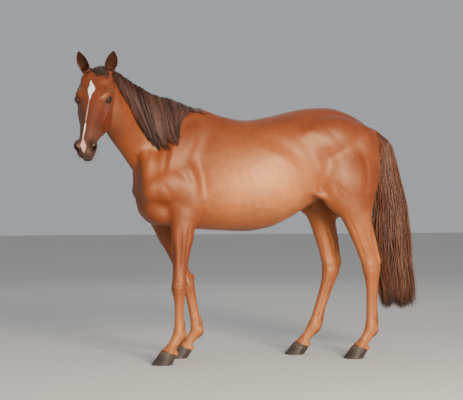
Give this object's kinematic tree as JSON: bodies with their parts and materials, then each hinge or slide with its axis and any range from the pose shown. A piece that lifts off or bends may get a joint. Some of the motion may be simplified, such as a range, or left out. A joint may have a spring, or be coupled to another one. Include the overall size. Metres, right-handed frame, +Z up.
{
  "type": "horse",
  "caption": "Life-size still model of a standing chestnut horse with a narrow face marking, its head turned to the left, long mane and tail hanging.",
  "frame": {"origin": "on the floor under the centre of the bounding box", "axes": "+Z up, -Y towards the horse's breast and front, +X to the horse's left"},
  "size_m": [0.8693, 2.2157, 1.8177],
  "materials": {
    "coat": "short glossy chestnut hair over skin",
    "long_hair": "long dark brown hair",
    "tail_hair": "long wavy brown hair",
    "horn": "dull dark horn",
    "eye": "wet and glossy"
  },
  "bodies": {
    "root": {"trunk": "coat", "neck": "coat", "head": "coat", "ear_left": "coat", "ear_right": "coat", "eye_left": "eye", "eye_right": "eye", "foreleg_left": "coat", "foreleg_right": "coat", "hindleg_left": "coat", "hindleg_right": "coat", "hoof_fore_left": "horn", "hoof_fore_right": "horn", "hoof_hind_left": "horn", "hoof_hind_right": "horn", "mane": "long_hair", "forelock": "long_hair", "tail": "tail_hair"}
  },
  "joints": []
}
